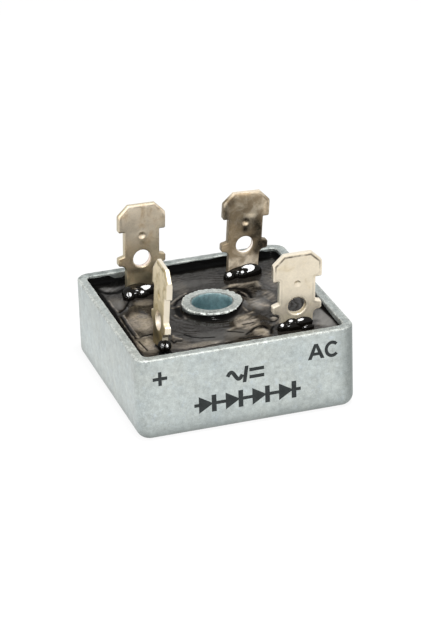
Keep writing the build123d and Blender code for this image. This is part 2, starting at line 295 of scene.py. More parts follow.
# Drops of resin at the lugs' feet, as rounded lumps: centre of the flattened crown, half sizes, how much of the lump
# the flat takes away, and which way the flat is turned
STEEP = Vector((-0.225, -0.783, 0.579)).normalized()
SLANT = Vector((-0.124, -0.607, 0.784)).normalized()
CROWN_EDGE = 0.06
DROPS = {
    "drop_ac_front": (
        ((7.2, -10.19, 10.96), (1.95, 0.95, 0.85), 0.0, SLANT),
        ((6.0, -10.01, 10.85), (0.66, 0.6, 0.75), 0.11, SLANT),
        ((7.13, -10.02, 11.21), (1.0, 0.7, 0.9), 0.08, SLANT),
        ((8.45, -10.25, 11.32), (1.3, 0.6, 0.8), 0.09, SLANT),
        ((8.8, -10.82, 10.5), (0.85, 0.4, 0.45), 0.08, STEEP)),
    "drop_negative": (
        ((6.36, 7.61, 10.98), (2.35, 1.1, 1.0), 0.0, SLANT),
        ((4.77, 7.32, 10.85), (0.78, 0.72, 0.85), 0.15, SLANT),
        ((7.45, 7.71, 11.1), (1.75, 1.0, 1.15), 0.18, SLANT),
        ((6.55, 7.26, 10.95), (0.75, 0.6, 0.75), 0.1, SLANT)),
    "drop_ac_back": (
        ((-8.0, 6.6, 10.95), (2.1, 1.55, 1.15), 0.0, SLANT),
        ((-9.24, 6.04, 10.87), (0.78, 0.72, 0.85), 0.16, SLANT),
        ((-6.9, 6.83, 11.12), (1.55, 0.62, 0.8), 0.2, SLANT),
        ((-7.47, 6.13, 10.92), (0.75, 0.6, 0.7), 0.12, SLANT)),
    "drop_positive": (
        ((-9.82, -11.35, 11.78), (0.88, 0.75, 0.8), 0.0, SLANT),
        ((-10.23, -11.7, 11.55), (0.38, 0.5, 0.65), 0.24, STEEP),
        ((-9.63, -11.85, 11.52), (0.34, 0.45, 0.6), 0.22, STEEP)),
}

# Creases (depth above 0) and ridges (below 0) in the cast skin: depth, half width, then x and y of each point in turn
FOLDS = (
    (0.08, 0.4, -12.29, 11.4, -11.91, 9.89, -11.24, 8.94, -10.07, 8.81, -8.79, 9.49),
    (0.08, 0.2, -9.38, 5.68, -10.12, 4.32, -10.76, 3.25, -11.56, 2.59),
    (0.05, 0.14, -11.72, 1.35, -11.81, -1.2, -11.82, -3.43, -11.78, -5.5),
    (0.05, 0.15, -11.23, -5.41, -10.37, -5.12, -9.54, -4.98, -8.98, -4.88),
    (0.05, 0.14, -8.75, -3.7, -8.84, -5.25, -8.89, -6.5),
    (0.06, 0.2, -7.89, -7.68, -7.76, -8.51, -7.35, -8.05, -6.77, -8.28),
    (0.06, 0.2, -0.09, 5.66, -1.29, 5.29, -2.55, 4.28, -3.69, 3.24, -4.36, 2.18),
    (0.04, 0.5, -4.3, 1.2, -4.5, -0.2, -4.6, -1.4),
    (0.1, 0.42, 3.67, 4.66, 4.68, 4.42, 5.49, 3.59, 5.69, 2.16, 5.36, 0.61),
    (0.06, 0.2, 4.62, 3.43, 4.6, 1.76, 4.73, 0.53, 5.44, 0.25),
    (0.08, 0.16, 1.99, -6.38, 2.65, -6.42, 3.36, -6.28),
    (0.08, 0.18, 1.4, -9.33, 2.1, -8.82, 2.9, -8.02, 3.7, -7.61, 4.3, -7.78, 4.41, -8.62),
    (0.05, 0.16, -0.41, -7.66, 0.47, -8.17, 1.24, -8.63),
    (0.06, 0.16, 5.94, -5.37, 6.64, -5.65, 7.03, -6.46, 7.15, -7.63),
    (0.06, 0.16, 5.45, -6.96, 6.03, -7.03, 6.47, -6.72),
    (0.03, 0.16, -5.85, -6.6, -5.15, -7.67, -4.07, -8.41, -2.59, -8.69),
    (0.05, 0.13, -6.42, -10.85, -4.6, -10.86, -2.72, -10.67, -0.92, -10.76),
    (0.05, 0.13, 0.33, -10.16, 1.53, -10.48, 3.11, -10.48),
    (0.05, 0.16, 4.34, -10.18, 4.9, -9.14, 5.31, -8.34),
    (-0.04, 0.1, -11.77, 6.64, -11.81, 4.66, -11.69, 2.8),
    (-0.04, 0.08, -11.3, 1.5, -11.36, -1.39, -11.37, -3.62, -11.33, -5.22),
    (-0.03, 0.06, -12.02, 1.2, -12.08, -1.4, -12.1, -3.6, -12.05, -5.6),
    (-0.05, 0.18, -11.96, -4.8, -11.0, -5.5, -9.94, -5.45, -9.49, -6.1, -9.05, -6.59),
    (-0.04, 0.08, -11.99, -6.2, -11.83, -7.83, -11.67, -9.44),
    (0.04, 0.1, -11.72, -6.4, -11.56, -8.0, -11.4, -9.4),
    (-0.05, 0.16, -7.22, -6.37, -7.28, -6.98, -6.6, -7.72),
    (-0.04, 0.13, -1.82, 5.33, -3.03, 4.48, -4.21, 3.28, -4.63, 2.79),
    (-0.04, 0.14, -4.88, 1.56, -4.41, 1.37, -3.91, 1.67),
    (-0.04, 0.13, -5.16, -0.62, -4.84, -1.72, -4.19, -1.33, -4.23, -2.29),
    (-0.09, 0.3, 4.26, 5.61, 5.32, 5.53, 6.46, 5.24, 7.75, 5.41, 7.7, 3.89),
    (-0.05, 0.14, 4.78, 2.69, 5.03, 1.42, 5.04, 0.24),
    (-0.04, 0.13, 3.11, -1.47, 3.24, -2.67, 3.52, -3.43),
    (-0.04, 0.4, 5.32, -1.69, 5.98, -2.12, 6.58, -2.36),
    (-0.06, 0.17, 3.56, -4.1, 4.13, -4.0),
    (-0.06, 0.2, 2.42, -5.11, 3.14, -4.58),
    (-0.07, 0.2, 2.3, -5.86, 3.1, -5.86, 3.72, -5.62),
    (-0.05, 0.25, -0.2, -7.42, 1.1, -6.67, 2.09, -6.1),
    (-0.05, 0.3, 3.06, -8.72, 3.73, -8.67, 4.01, -9.42),
    (-0.06, 0.22, 5.28, -7.85, 5.9, -7.78, 6.5, -7.21)
)

# Oval places in the skin, as centre, half widths and strength: brown ones, partly milky resin and partly painted
# reflection of the lugs, and grey ones, partly haze and partly painted sheen
MILK_AND_REFLECTION = ((-9.8, -1.5, 1.6, 3.1, 1.0), (-7.9, 4.4, 1.4, 1.1, 0.5), (-11.2, 5.4, 1.0, 2.3, 0.2),
         (-10.9, -7.8, 1.4, 2.3, 0.75), (-2.2, 7.5, 1.2, 3.3, 0.15), (2.6, -6.3, 1.6, 2.3, 0.9),
         (3.4, -9.5, 1.0, 1.3, 0.9), (5.6, -1.6, 1.5, 2.0, 0.45), (7.9, 0.6, 0.8, 2.2, 0.4),
         (6.2, -6.5, 0.5, 1.0, 0.8), (-4.4, -10.3, 3.2, 0.9, 0.55), (11.6, -8.8, 1.3, 2.2, 0.2),
         (-0.4, -9.2, 1.1, 1.3, 0.12), (-7.4, -9.0, 1.6, 1.6, 0.3), (4.6, 5.0, 1.6, 0.8, 0.5),
         (10.6, 4.5, 1.8, 3.5, 0.25))
HAZE_AND_SHEEN = ((11.9, -8.6, 1.7, 3.0, 1.0), (4.8, -1.9, 1.4, 1.7, 0.4), (0.6, -8.6, 2.0, 1.0, 0.3),
        (-10.9, 10.3, 1.6, 0.9, 0.5), (-2.0, -8.6, 4.5, 1.8, 0.3), (-0.8, 8.0, 3.4, 1.2, 0.25),
        (-10.6, 5.2, 1.3, 2.0, 0.3), (6.0, -0.5, 1.6, 2.4, 0.35), (9.5, 3.0, 2.0, 4.0, 0.2))

# Where the skin is crumpled, ridged and humped: centre and half widths
CRUMPLED = (2.4, -7.1, 2.3, 2.4)
RIDGED = (6.3, 3.2, 2.0, 1.6)
HUMPED = (-8.9, 0.2, 2.3, 3.6)


def skirt_relief(x, y):
    relief = np.zeros_like(x)
    for name, half, ahead, behind, height, (aside, forward, radius, rise) in SKIRTS:
        origin, across, _, front = (quarter_turn(name, v) for v in lug_directions(name))
        u = (x - origin.x) * across.x + (y - origin.y) * across.y
        w = (x - origin.x) * front.x + (y - origin.y) * front.y
        around = np.arctan2(w, u)
        swell = 1 + 0.06 * np.sin(3 * around + half) + 0.05 * np.sin(5 * around + 7 * ahead)
        body = height * dome(off_centre(u, w, 0, 0, half, np.where(w > 0, ahead, behind)) / swell ** 2)
        small = rise * dome(off_centre(u, w, aside, forward, radius, radius))
        relief = gentle_max(relief, gentle_max(body, small, 0.12), 0.1) - 0.025
    return np.maximum(relief, 0)


def gap_to_path(x, y, path):
    spots = np.stack([x, y], 1)
    nearest = np.full(len(x), np.inf)
    for start, end in zip(path, path[1:]):
        run = end - start
        share = np.clip(((spots - start) @ run) / (run @ run), 0, 1)
        nearest = np.minimum(nearest, np.hypot(*(spots - start - share[:, None] * run).T))
    return nearest


def fold_relief(x, y):
    """Relief of the folds, how far each point lies in a crease and how far on a ridge."""
    relief, hollow, ridge = np.zeros_like(x), np.zeros_like(x), np.zeros_like(x)
    sway = 0.07 * waver_at(x, y, 0.9, 41)
    strength = np.clip(0.85 + 0.9 * waver_at(x, y, 0.7, 43), 0.2, 1.2)
    for depth, width, *path in FOLDS:
        near = fade(gap_to_path(x + sway, y - sway, np.reshape(path, (-1, 2))), width, 2)
        relief -= depth * near
        if depth > 0:
            hollow = np.maximum(hollow, near)
        else:
            ridge = np.maximum(ridge, near * strength)
    return relief, hollow, ridge


def milk_and_reflection(x, y):
    wisp = waver_at(x, y, 1.7, 51)
    thread = waver_at(0.25 * (x + 0.6 * y), y - 0.6 * x, 0.5, 53) * np.where(x > -3, 1.5, 0.2)
    amount = np.full_like(x, 0.03)
    for *place, strength in MILK_AND_REFLECTION:
        cover = np.clip(1.25 - off_centre(x, y, *place) - 0.5 * wisp, 0, 1)
        amount += strength * cover * (1 + 0.6 * wisp + 0.9 * thread)
    return np.clip(amount, 0, 1.4)


def skin_relief(x, y, wall_gap, post_gap, folds):
    slow, middling = waver_at(x, y, 5.5, 21), waver_at(x, y, 2.3, 23)
    quick, along = waver_at(x, y, 0.8, 25), waver_at(x, y, 1.6, 27)
    level = 0.15 * slow + 0.045 * middling + 0.006 * quick + folds
    crumple, ridge, hump = (np.exp(-off_centre(x, y, *place)) for place in (CRUMPLED, RIDGED, HUMPED))
    level += (0.09 * crumple + 0.05 * ridge) * quick + 0.08 * (crumple + ridge) * middling + 0.22 * hump
    ringed = ramp(-y, 0, 4) * ramp(post_gap, 0.6, 1.4) * fade(post_gap, 3.0)
    level += 0.022 * ringed * np.sin(post_gap * math.tau / RING_SPACING + slow * 3)
    bare = ramp(x, 11.2, 11.8) * np.clip((-1 - y) / 8, 0.3, 1) + fade(x + 8.6, 1.0, 4) * ramp(y, 11, 12)
    climb = WALL_CREEP * (1 - 0.72 * np.clip(bare, 0, 1)) * (1 + 0.16 * along)
    level += climb * fade(wall_gap, CREEP_WIDTH) + 0.05 * fade(wall_gap, 1.3)
    level += 0.5 * fade(np.arctan2(y, x) + 0.2, 0.8, 4) * fade(post_gap, 2.6, 2)
    toward = np.clip(-y / np.maximum(np.hypot(x, y), 0.01), 0, 1)
    level += POST_CREEP * (0.3 + 0.7 * toward) * (1 + 0.12 * along) * fade(post_gap, CREEP_WIDTH)
    return level + 0.04 * fade(post_gap, 1.1)


def potting_block(material):
    wall = np.array(square_ring(CAVITY_HALF - 0.004, CAVITY_CORNER, 168, 22))
    post = np.array(round_ring(POST_RADIUS - 0.02, wall))
    span = np.hypot(*(wall - post).T)
    near = [0, 0.02, 0.05, 0.09, 0.14, 0.2, 0.28, 0.38, 0.5, 0.65, 0.82]
    from_post = near[-1] / span
    shares = [1 - gap / span for gap in near]
    shares += [from_post + (1 - 2 * from_post) * m for m in np.linspace(1.0, 0.0, 89)[1:-1]]
    shares += [gap / span for gap in near[::-1]]
    top = np.concatenate([post + (wall - post) * share[:, None] for share in shares])
    x, y = top.T
    past = np.maximum(np.abs(top) - (CAVITY_HALF - CAVITY_CORNER), 0)
    wall_gap = np.where(past.min(1) > 0, CAVITY_CORNER - np.hypot(*past.T), CAVITY_HALF - np.abs(top).max(1))
    wall_gap = np.maximum(wall_gap, 0)
    post_gap = np.maximum(np.hypot(x, y) - POST_RADIUS, 0)
    folds, hollow, ridge = fold_relief(x, y)
    skirts = skirt_relief(x, y)
    relief = gentle_max(skin_relief(x, y, wall_gap, post_gap, folds), skirts, 0.12) - 0.03
    z = FILL_LEVEL + np.minimum(relief, HIGHEST_BEAD)
    below = ((post, 1, CASE_FLOOR + FLOOR_BEVEL), (post, 1 + FLOOR_BEVEL / POST_RADIUS, CASE_FLOOR),
             (wall, 1 - FLOOR_BEVEL / CAVITY_HALF, CASE_FLOOR), (wall, 1, CASE_FLOOR + FLOOR_BEVEL))
    points = np.concatenate([np.stack([x, y, z], 1)] + [np.column_stack([ring * grow, np.full(len(ring), level)])
                                                        for ring, grow, level in below])
    bead = ramp(skirts, 0.06, 0.26)
    ragged = waver_at(x, y, 1.1, 61)
    # Painted shade: the skin turns black and dull along the walls and round the post's front, where shade and dark
    # reflections fall (shadow at the back wall, band at the left wall, wedge at the right wall, close at every wall,
    # collar at the post)
    ahead = np.clip((-0.92 * y - 0.38 * x) / np.maximum(np.hypot(x, y), 0.01), 0, 1)
    collar = fade(post_gap, 0.1 + 0.8 * ahead ** 2 + 0.14 * ragged, 2) * np.clip(0.35 + 2 * ahead, 0, 1)
    shadow = fade(CAVITY_HALF - y, 1.7 + 0.5 * np.clip(-x / 10, -0.4, 1) + 0.5 * ragged, 4)
    band = fade(CAVITY_HALF + x, 0.95 + 0.12 * ramp(y, 0, 3) - 0.25 * ramp(-y, 4, 8) + 0.1 * ragged, 6)
    wedge = fade(CAVITY_HALF - x, 0.1 + 0.7 * ramp(y, -11, -1), 4)
    close = fade(wall_gap, np.where(x > 12, 0.25, 0.4), 2)
    wall_shade = np.clip(np.maximum.reduce([close, collar, shadow, band, wedge]), 0, 1)
    plain = (1 - bead) * (1 - np.clip(wall_shade * 1.4, 0, 1))
    # Painted highlight on the ridges and less brown in the creases, on top of the brown places
    milk_and_painted_reflection = np.clip(milk_and_reflection(x, y) * (1 - 0.75 * hollow) + 0.75 * ridge, 0, 1.5)
    haze_and_painted_sheen = sum(strength * np.clip(1.3 - off_centre(x, y, *place) + 0.7 * ragged, 0, 1) for *place, strength in HAZE_AND_SHEEN)
    # The folded value is painted shade in the creases: they are turned black and dull
    looks = {"beaded": bead, "painted_wall_shade": wall_shade, "milk_and_painted_reflection": milk_and_painted_reflection * plain, "folded": hollow * (1 - bead),
             "haze_and_painted_sheen": haze_and_painted_sheen * plain}
    hidden = np.zeros(len(below) * len(wall))
    return add_piece("potting_skin", points, loft_faces(len(shares) + len(below), len(wall)), material, 180,
                     {label: np.concatenate([numbers, hidden]) for label, numbers in looks.items()})


def resin_drop(name, lumps, material):
    """Lumps of resin run together at a lug's foot, each an uneven ellipsoid with one flattened crown."""
    around, rows = 72, 48
    points, faces = [], []
    for number, (crown, half, cut, facing) in enumerate(lumps):
        size = Vector(half)
        reach = (size * facing).length
        middle = Vector(crown) - size * size * facing / reach * (1 - cut)
        first = len(points)
        for row in range(rows + 1):
            tilt = math.pi * row / rows
            for step in range(around):
                turn = math.tau * step / around
                out = Vector((math.sin(tilt) * math.cos(turn), math.sin(tilt) * math.sin(turn), math.cos(tilt)))
                spot = out * size
                spot *= 1 + 0.035 * waver(*(middle + spot), 0.9, 71 + number)
                over = spot.dot(facing) - reach * (1 - cut)
                if cut > 0 and over > CROWN_EDGE:
                    spot -= facing * over
                elif cut > 0 and over > -CROWN_EDGE:
                    spot -= facing * (over + CROWN_EDGE) ** 2 / (4 * CROWN_EDGE)
                place = middle + spot
                place += facing * (0.009 * waver(*place, 0.75, 75) + 0.003 * waver(*place, 0.3, 77))
                points.append(tuple(place))
        for row in range(rows):
            low, high = first + row * around, first + (row + 1) * around
            for step in range(around):
                ahead = (step + 1) % around
                faces.append((low + step, high + step, high + ahead, low + ahead))
    return add_piece(name, points, faces, material, 180)


# Terminals: blanked, bevelled and folded from one sheet

def line_between(a, b, step):
    parts = max(1, int((b - a).length / step))
    return [a.lerp(b, i / parts) for i in range(1, parts)]


def soft_outline(corners, step):
    """Closed outline through corners (x, y, radius), as points about a step apart."""
    points = []
    for k, (x, y, radius) in enumerate(corners):
        here = Vector((x, y))
        arc = [here]
        if radius > 0:
            back = (Vector(corners[k - 1][:2]) - here).normalized()
            ahead = (Vector(corners[(k + 1) % len(corners)][:2]) - here).normalized()
            opening = back.angle(ahead)
            cut = radius / math.tan(opening / 2)
            centre = here + (back + ahead).normalized() * (radius / math.sin(opening / 2))
            start = here + back * cut - centre
            sweep = start.angle_signed(here + ahead * cut - centre)
            steps = max(3, int(abs(sweep) * radius / step * 1.5) + 1)
            arc = []
            for i in range(steps + 1):
                a = -sweep * i / steps
                arc.append(centre + Vector((start.x * math.cos(a) - start.y * math.sin(a),
                                            start.x * math.sin(a) + start.y * math.cos(a))))
        if points:
            points += line_between(points[-1], arc[0], step)
        points += arc
    points += line_between(points[-1], points[0], step)
    return np.array([tuple(p) for p in points])


def lug_corners(tip, below):
    right = [(LUG_HALF - TIP_CHAMFER, tip, 0.1), (LUG_HALF, tip - TIP_CHAMFER, 0.1),
             (LUG_HALF, tip - SHOULDER_DROP, 0.2), (NECK_HALF, tip - SHOULDER_DROP, 0.08),
             (NECK_HALF, tip - EAR_DROP, 0.1), (EAR_HALF, tip - EAR_DROP - EAR_RISE, 0.22),
             (EAR_HALF, tip - EAR_BOTTOM, 0.3), (STEM_HALF, tip - EAR_BOTTOM, 0.8), (STEM_HALF, -below, 0)]
    return right + [(-x, y, r) for x, y, r in reversed(right)]


def gaps_to(points, loop, chosen=slice(None)):
    """Distance of each point from the chosen sides of a loop."""
    start = loop[chosen]
    run = np.roll(loop, -1, axis=0)[chosen] - start
    share = ((points[:, None, :] - start) * run).sum(2) / (run ** 2).sum(1)
    foot = start + np.clip(share, 0, 1)[:, :, None] * run
    return np.sqrt(((points[:, None, :] - foot) ** 2).sum(2)).min(1)


def inside(points, loop):
    ax, ay = loop.T
    bx, by = np.roll(loop, -1, axis=0).T
    px, py = points[:, :1], points[:, 1:]
    rise = np.where(by == ay, 1e-12, by - ay)
    return (((ay > py) != (by > py)) & (px < ax + (py - ay) / rise * (bx - ax))).sum(1) % 2 == 1


def away(points, centre):
    return np.hypot(*(points - centre).T)


def winding(loop):
    """Above 0 for a loop that runs anticlockwise."""
    (ax, ay), (bx, by) = loop.T, np.roll(loop, -1, axis=0).T
    return (ax * by - bx * ay).sum()


def triangles_within(flat, counts, wanted):
    """Fills a sheet with triangles where a test wants them; its first points are closed loops of the given counts.

    Gives the points in use, the triangles and the numbers of the loops' points.
    """
    sides, start = [], 0
    for count in counts:
        sides += [(start + i, start + (i + 1) % count) for i in range(count)]
        start += count
    verts, _, tris, sources, _, _ = delaunay_2d_cdt([Vector(p) for p in flat], sides, [], 0, 1e-6)
    points = np.array([tuple(v) for v in verts])
    tris = np.array(tris)[wanted(np.array([points[list(t)].mean(0) for t in tris]))]
    first = {source[0]: index for index, source in enumerate(sources) if source}
    used = sorted(set(tris.ravel()))
    place = {v: k for k, v in enumerate(used)}
    return points[used], [tuple(place[v] for v in t) for t in tris], [place[first[i]] for i in range(start)]


def sheet_pattern(tip, below):
    """Flat pattern of a lug: points, triangles, the edge's and the hole's point numbers, outline, hole's centre."""
    outline = soft_outline(lug_corners(tip, below), 0.16)
    hole_at, dimple_at = np.array([0, tip - HOLE_DROP]), np.array([0, tip - DIMPLE_DROP])
    turns = [math.tau * i / 56 for i in range(56)]
    hole = np.array([tuple(Vector((HOLE_RADIUS * math.cos(t), hole_at[1] + HOLE_RADIUS * math.sin(t))))
                     for t in turns])
    along = np.roll(outline, -1, axis=0) - np.roll(outline, 1, axis=0)
    normal = np.stack([-along[:, 1], along[:, 0]], 1) / np.hypot(*along.T)[:, None]
    if not inside(outline[:1] + normal[:1] * 0.05, outline)[0]:
        normal = -normal
    loose = []
    for inset in (0.05, 0.11, 0.19, 0.29, 0.42):
        ring = outline + normal * inset
        loose.append(ring[gaps_to(ring, outline) > inset * 0.93])
        loose.append(hole_at + (hole - hole_at) * (1 + inset / HOLE_RADIUS))
    loose.append(np.array([(r * math.cos(t), dimple_at[1] + r * math.sin(t))
                           for r in (0.12, 0.22, 0.33, 0.44, 0.52, 0.64, 0.8)
                           for t in np.linspace(0, math.tau, 19)[:-1]] + [tuple(dimple_at)]))
    far = np.array([tuple(Vector((x, y))) for y in np.arange(-below + 0.2, tip, 0.3)
                    for x in np.arange(-3.15, 3.16, 0.3)])
    loose.append(far[inside(far, outline) & (gaps_to(far, outline) > 0.5) & (away(far, dimple_at) > 0.9)
                     & (away(far, hole_at) > HOLE_RADIUS + 0.5)])
    loose = np.concatenate(loose)
    loose = loose[inside(loose, outline) & (away(loose, hole_at) > HOLE_RADIUS + 0.03)]

    def in_metal(spots):
        return inside(spots, outline) & (away(spots, hole_at) > HOLE_RADIUS * 0.985)

    flat, tris, edge = triangles_within(np.concatenate([outline, hole, loose]), (len(outline), len(hole)), in_metal)
    return flat, tris, edge[:len(outline)], edge[len(outline):], outline, hole_at


# Darker (above 0) and lighter (below 0) places on a lug, painted shade and painted highlights with some stains:
# across, down from the tip, half widths and amount; the most that they darken together; and the plate's distance from
# an edge and from the tip, its stains and painted light, and bored
LUG_STAINS_AND_LIGHT = {
    "terminal_ac_front":
        ((-2.6, 8.0, 0.7, 0.5, 0.1), (0, 4.25, 0.3, 0.3, -0.06), (0, 10.2, 2.0, 0.7, -0.15)),
    "terminal_ac_back":
        ((0, 5.2, 0.4, 0.35, 0.45), (-0.6, 9.1, 1.4, 0.4, 0.5), (1.5, 8.8, 0.5, 1.0, 0.4),
         (1.0, 10.3, 0.9, 0.8, 0.35), (-1.4, 10.7, 0.7, 0.9, -0.3), (1.0, 6.0, 1.6, 0.7, 0.2),
         (0.0, 0.35, 2.4, 0.2, 0.2)),
    "terminal_negative":
        ((-2.8, 2.9, 0.5, 1.3, 0.6), (-2.3, 1.4, 0.5, 0.5, 0.35), (2.6, 2.4, 0.25, 1.0, -0.5),
         (0.7, 3.35, 0.55, 0.25, -1.2), (0, 4.1, 0.65, 0.45, 0.6), (0, 5.2, 0.5, 0.5, 0.6),
         (1.9, 5.6, 0.9, 1.5, 0.85), (2.6, 7.6, 0.9, 0.7, 1.3), (1.7, 8.6, 0.6, 0.8, 0.8), (1.1, 4.6, 0.9, 0.9, 0.4),
         (0.3, 2.6, 1.0, 0.6, 0.2), (-1.2, 2.6, 0.8, 1.0, 0.15), (-1.8, 5.2, 0.5, 1.6, -0.25),
         (-2.8, 7.6, 0.5, 0.6, -0.5), (-0.2, 10.0, 1.8, 0.9, -0.15), (0.2, 1.8, 1.4, 0.9, 0.15),
         (1.0, 6.4, 0.5, 0.4, 0.6), (1.6, 3.6, 0.7, 0.8, 0.3), (-0.4, 0.3, 1.9, 0.3, -0.6),
         (-0.1, 3.7, 0.6, 0.2, 0.6), (0.0, 4.4, 0.3, 0.25, -1.6), (0.0, 5.2, 0.4, 0.6, 0.5),
         (-1.9, 0.9, 0.6, 0.6, 0.3)),
    "terminal_positive":
        ((-0.9, 8.9, 0.9, 0.8, 0.45), (1.1, 6.3, 0.6, 0.5, 0.25), (0.4, 9.6, 1.2, 0.6, 0.4),
         (0.0, 10.6, 2.4, 1.0, 0.35), (1.4, 7.6, 0.8, 1.0, 0.3), (-1.6, 8.4, 0.6, 1.2, 0.3),
         (-1.8, 6.4, 0.6, 0.9, 0.12)),
}
DARKEST = 0.86
PLATE_LOOKS = (0.5, 9.0, 0.0, 0.0)


def terminal(name, material, seed):
    _, tip_level, lean, roll, _, plate, corner = LUGS[name]
    origin, across, up, front = lug_directions(name)
    upright = math.cos(math.radians(lean)) * math.cos(math.radians(roll))
    length, below = (tip_level - FOOT_LEVEL) / upright, (FOOT_LEVEL - plate) / upright
    inward = Vector((0, -corner[1], 0))
    inward = (inward - across * inward.dot(across)).normalized()
    down = -up
    bend = down.angle(inward)
    cut = BEND_RADIUS * math.tan(bend / 2)
    arc = BEND_RADIUS * bend
    straight_end = cut - below
    hook = (inward - down * inward.dot(down)).normalized()
    hook_side = 1 if front.dot(hook) > 0 else -1
    flat, tris, border, hole_edge, outline, hole_at = sheet_pattern(length, below - cut + arc + SHEET_TAIL)
    x, y = flat.T
    gap = np.minimum(gaps_to(flat, outline), np.abs(away(flat, hole_at) - HOLE_RADIUS))
    high = outline[:, 1] > length - TIP_CHAMFER - 0.02
    tip_gap = gaps_to(flat, outline, high & np.roll(high, -1))
    bevel = EDGE_BEVEL * ramp(gap, EDGE_BEVEL_WIDTH, 0) ** 1.6
    bevel = np.maximum(bevel, TIP_BEVEL * ramp(tip_gap, TIP_BEVEL_WIDTH, 0))
    dent = away(flat, np.array([0, length - DIMPLE_DROP]))
    dimple = DIMPLE_DEPTH * ramp(dent, DIMPLE_RADIUS, DIMPLE_FLOOR) ** 0.8
    lip = 0.02 * fade(dent - DIMPLE_RADIUS - 0.05, 0.09, 2)
    bow = (0.03 * waver_at(x, y, 2.6, seed) + 0.008 * waver_at(x, y, 0.9, seed + 1)) * ramp(y, -1.0, 0.5)
    relief = SHEET / 2 - bevel - dimple + lip
    faces_at = {1: relief + bow, -1: bow - relief}
    # Stains with painted shade and painted highlights, summed from the lug's table
    stains_and_light = np.zeros(len(flat))
    for *place, amount in LUG_STAINS_AND_LIGHT[name]:
        stains_and_light += amount * np.exp(-off_centre(x, length - y, *place))
    stains_and_light = np.minimum(stains_and_light, DARKEST)
    points, values = [], {"from_edge": [], "from_tip": [], "stains_and_painted_light": [], "bored": []}

    def put(v, offset, from_edge, bored=0.0):
        """Adds a point of the flat pattern, folded along the bend, and gives its number."""
        if flat[v][1] >= straight_end:
            spot = origin + across * flat[v][0] + up * flat[v][1] + front * offset
        else:
            run = straight_end - flat[v][1]
            angle = min(run / BEND_RADIUS, bend)
            reach = BEND_RADIUS - hook_side * offset
            spot = origin + up * straight_end + across * flat[v][0] + hook * BEND_RADIUS
            spot += (down * math.sin(angle) - hook * math.cos(angle)) * reach + inward * max(0.0, run - arc)
        points.append(tuple(quarter_turn(name, spot)))
        for numbers, number in zip(values.values(), (from_edge, length - flat[v][1], stains_and_light[v], bored)):
            numbers.append(number)
        return len(points) - 1

    n = len(flat)
    for side in (1, -1):
        for v in range(n):
            put(v, faces_at[side][v], gap[v])
    faces = tris + [tuple(n + v for v in reversed(t)) for t in tris]
    if sum(winding(flat[list(t)]) for t in tris) < 0:
        faces = [face[::-1] for face in faces]
    for loop in (border, hole_edge):
        rows = [loop]
        for share in (0.75, 0.5, 0.25):
            rows.append([put(v, faces_at[-1][v] + (faces_at[1][v] - faces_at[-1][v]) * share, 0.0,
                             float(loop is hole_edge)) for v in loop])
        rows.append([n + v for v in loop])
        outward = (winding(flat[loop]) > 0) == (loop is border)
        for upper, lower in zip(rows, rows[1:]):
            for i in range(len(loop)):
                face = (upper[i - 1], lower[i - 1], lower[i], upper[i])
                faces.append(face if outward else face[::-1])
    start = len(points)
    plate_points, plate_faces = corner_plate(name, (origin - up * below).y)
    points += plate_points
    faces += [tuple(start + v for v in face) for face in plate_faces]
    for numbers, number in zip(values.values(), PLATE_LOOKS):
        numbers += [number] * len(plate_points)
    return add_piece(name.replace("terminal", "lug_sheet"), points, faces, material, 35, values)


def corner_plate(name, bend_y):
    (stem_x, _), *_, level, (sx, sy) = LUGS[name]
    edge_y = bend_y - sy * PLATE_BEHIND_BEND
    slot_x = stem_x - sx * (STEM_HALF + PLATE_SLOT)
    corners = [(-sx * PLATE_END, sy * PLATE_OUTER), (slot_x, sy * PLATE_OUTER), (slot_x, edge_y),
               (sx * PLATE_OUTER, edge_y), (sx * PLATE_OUTER, -sy * PLATE_END), (sx * PLATE_INNER, -sy * PLATE_END),
               (sx * PLATE_INNER, sy * (PLATE_INNER - PLATE_GUSSET)),
               (sx * (PLATE_INNER - PLATE_GUSSET), sy * PLATE_INNER), (-sx * PLATE_END, sy * PLATE_INNER)]
    if sx * sy < 0:
        corners.reverse()
    loop = soft_outline([(x, y, 0.12) for x, y in corners], 0.8)
    flat, tris, edge = triangles_within(loop, (len(loop),), lambda spots: inside(spots, loop))
    n = len(flat)
    points = [tuple(quarter_turn(name, (x, y, level + side * SHEET / 2))) for side in (1, -1) for x, y in flat]
    faces = tris + [tuple(n + v for v in reversed(t)) for t in tris]
    faces += [(a, n + a, n + b, b) for a, b in zip(edge, edge[1:] + edge[:1])]
    return points, faces


# Print on the front face, as thin raised ink

INK_HALF = 0.006
INK_STAND = 0.007


def ink(name, loops, material):
    curve = bpy.data.curves.new(name, "CURVE")
    curve.dimensions = "2D"
    curve.fill_mode = "BOTH"
    curve.extrude = INK_HALF
    for loop in loops:
        spline = curve.splines.new("POLY")
        spline.points.add(len(loop) - 1)
        for point, (x, z) in zip(spline.points, loop):
            point.co = (x, z, 0, 1)
        spline.use_cyclic_u = True
    holder = add_object(name + "_outline", curve)
    bpy.context.view_layer.update()
    flat = bpy.data.meshes.new_from_object(holder.evaluated_get(bpy.context.evaluated_depsgraph_get()))
    points = [(v.co.x, -CASE_HALF - INK_STAND - v.co.z, v.co.y) for v in flat.vertices]
    faces = [tuple(p.vertices) for p in flat.polygons]
    bpy.data.objects.remove(holder)
    bpy.data.curves.remove(curve)
    bpy.data.meshes.remove(flat)
    return add_piece(name, points, faces, material, 30)


def arc_points(cx, cz, radius, start, end, steps, squash):
    angles = [math.radians(start + (end - start) * i / steps) for i in range(steps + 1)]
    return [(cx + radius * squash * math.cos(a), cz + radius * math.sin(a)) for a in angles]


def bar(x0, z0, x1, z1):
    return [(x0, z0), (x1, z0), (x1, z1), (x0, z1)]


